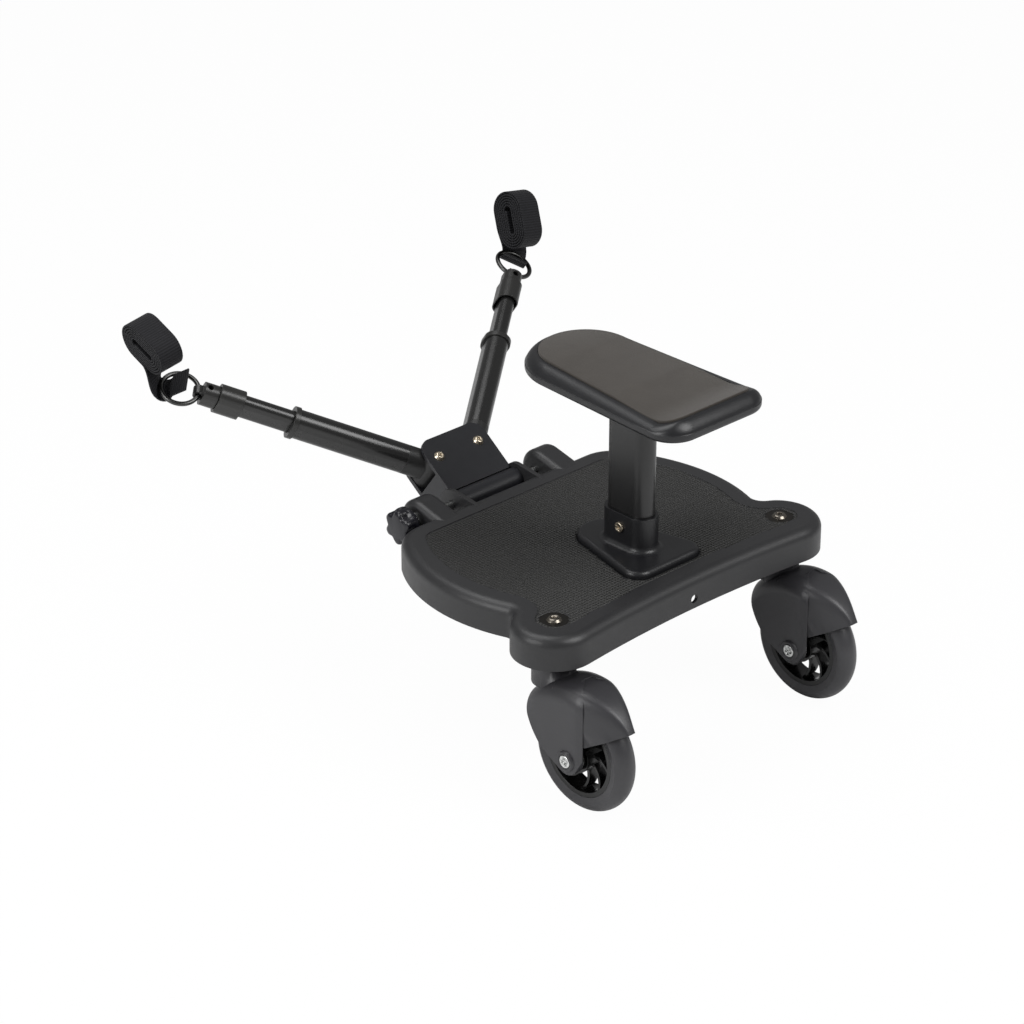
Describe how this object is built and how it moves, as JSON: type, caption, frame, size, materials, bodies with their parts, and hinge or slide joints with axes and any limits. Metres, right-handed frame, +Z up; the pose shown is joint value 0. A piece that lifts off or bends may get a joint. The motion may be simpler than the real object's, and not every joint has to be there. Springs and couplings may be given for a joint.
{
  "type": "buggy board",
  "caption": "Ride-on board for a pushchair: moulded deck on swivel casters, seat on a post, and a tilting front bracket whose telescopic arms end in rings and rolled straps.",
  "frame": {"origin": "on the floor, at the middle of the overall bounding box", "axes": "+Y forward, towards the pushchair; +Z up; +X to the right as seen by a rider facing forward"},
  "size_m": [0.4459, 0.5102, 0.3138],
  "materials": {
    "deck_plastic": "moulded, fine grain",
    "fork_plastic": "moulded, satin",
    "bracket_plastic": "moulded, satin",
    "knob_plastic": "moulded, satin",
    "seat_plastic": "moulded, fine grain",
    "inner_plastic": "moulded",
    "hub_plastic": "moulded, satin",
    "collar_plastic": "moulded, satin",
    "tube_coat": "satin powder coat",
    "ring_metal": "satin",
    "screw_steel": "zinc plated",
    "bearing_steel": "ground",
    "tyre_rubber": "smooth, matte",
    "webbing": "ribbed woven webbing",
    "seat_foam": "matte closed-cell foam"
  },
  "bodies": {
    "board": {"deck": "deck_plastic", "swivel_bolts": "screw_steel", "swivel_washers": "screw_steel", "swivel_nuts": "screw_steel", "clamp_axle": "screw_steel", "clamp_washer": "screw_steel"},
    "knob": {"clamp_knob": "knob_plastic"},
    "bracket": {"bracket_body": "bracket_plastic", "bracket_cover": "bracket_plastic", "pivot_screws": "screw_steel", "pivot_nuts": "screw_steel"},
    "seat": {"seat_foot": "seat_plastic", "foot_screw": "screw_steel", "foot_nut": "screw_steel", "seat_post": "tube_coat", "post_plug": "inner_plastic", "seat_pan": "seat_plastic", "seat_screw": "screw_steel", "seat_pad": "seat_foam"},
    "left_arm": {"left_arm_plug": "inner_plastic", "left_plug_pin": "screw_steel", "left_outer_tube": "tube_coat", "left_end_bush": "collar_plastic"},
    "left_extension": {"left_inner_tube": "tube_coat", "left_tip_coupling": "collar_plastic"},
    "left_collar": {"left_sleeve": "collar_plastic"},
    "left_loop": {"left_ring": "ring_metal", "left_strap": "webbing"},
    "left_caster": {"left_fork": "fork_plastic", "left_swivel_bush": "inner_plastic", "left_axle_screw": "screw_steel", "left_axle_nut": "screw_steel", "left_axle_spacers": "screw_steel"},
    "left_wheel": {"left_wheel_hub": "hub_plastic", "left_bearings": "bearing_steel", "left_tyre": "tyre_rubber"},
    "right_arm": {"right_arm_plug": "inner_plastic", "right_plug_pin": "screw_steel", "right_outer_tube": "tube_coat", "right_end_bush": "collar_plastic"},
    "right_extension": {"right_inner_tube": "tube_coat", "right_tip_coupling": "collar_plastic"},
    "right_collar": {"right_sleeve": "collar_plastic"},
    "right_loop": {"right_ring": "ring_metal", "right_strap": "webbing"},
    "right_caster": {"right_fork": "fork_plastic", "right_swivel_bush": "inner_plastic", "right_axle_screw": "screw_steel", "right_axle_nut": "screw_steel", "right_axle_spacers": "screw_steel"},
    "right_wheel": {"right_wheel_hub": "hub_plastic", "right_bearings": "bearing_steel", "right_tyre": "tyre_rubber"}
  },
  "joints": [
    {"name": "knob_turn", "type": "hinge", "parent": "board", "child": "knob", "pos_m": [0, 0.052, 0.1435], "axis": [-1, 0, 0], "continuous": true},
    {"name": "bracket_tilt", "type": "hinge", "parent": "board", "child": "bracket", "pos_m": [0, 0.052, 0.1435], "axis": [1, 0, 0], "range_deg": [-36, 38]},
    {"name": "seat_lift", "type": "slide", "parent": "board", "child": "seat", "axis": [0, 0, 1], "range_m": [0, 0.04]},
    {"name": "left_arm_swing", "type": "hinge", "parent": "bracket", "child": "left_arm", "pos_m": [-0.0224, 0.09545, 0.15774], "axis": [0, -0.5948, 0.8039], "range_deg": [-38, 39]},
    {"name": "left_arm_extend", "type": "slide", "parent": "left_arm", "child": "left_extension", "axis": [-0.7478, 0.5337, 0.3949], "range_m": [-0.034, 0.022]},
    {"name": "left_collar_slide", "type": "slide", "parent": "left_extension", "child": "left_collar", "axis": [-0.7478, 0.5337, 0.3949], "range_m": [-0.008, 0]},
    {"name": "left_ring_flap", "type": "hinge", "parent": "left_extension", "child": "left_loop", "pos_m": [-0.17974, 0.20774, 0.24083], "axis": [0.6639, 0.6011, 0.4448], "range_deg": [-30, 45]},
    {"name": "left_caster_swivel", "type": "hinge", "parent": "board", "child": "left_caster", "pos_m": [-0.13, -0.164, 0.126], "axis": [0, 0, 1], "continuous": true},
    {"name": "left_wheel_spin", "type": "hinge", "parent": "left_caster", "child": "left_wheel", "pos_m": [-0.13, -0.201, 0.05], "axis": [1, 0, 0], "continuous": true},
    {"name": "right_arm_swing", "type": "hinge", "parent": "bracket", "child": "right_arm", "pos_m": [0.0224, 0.09545, 0.15774], "axis": [0, 0.5948, -0.8039], "range_deg": [-38, 39]},
    {"name": "right_arm_extend", "type": "slide", "parent": "right_arm", "child": "right_extension", "axis": [0.7478, 0.5337, 0.3949], "range_m": [-0.034, 0.022]},
    {"name": "right_collar_slide", "type": "slide", "parent": "right_extension", "child": "right_collar", "axis": [0.7478, 0.5337, 0.3949], "range_m": [-0.008, 0]},
    {"name": "right_ring_flap", "type": "hinge", "parent": "right_extension", "child": "right_loop", "pos_m": [0.17974, 0.20774, 0.24083], "axis": [0.6639, -0.6011, -0.4448], "range_deg": [-30, 45]},
    {"name": "right_caster_swivel", "type": "hinge", "parent": "board", "child": "right_caster", "pos_m": [0.13, -0.164, 0.126], "axis": [0, 0, 1], "continuous": true},
    {"name": "right_wheel_spin", "type": "hinge", "parent": "right_caster", "child": "right_wheel", "pos_m": [0.13, -0.201, 0.05], "axis": [1, 0, 0], "continuous": true}
  ]
}
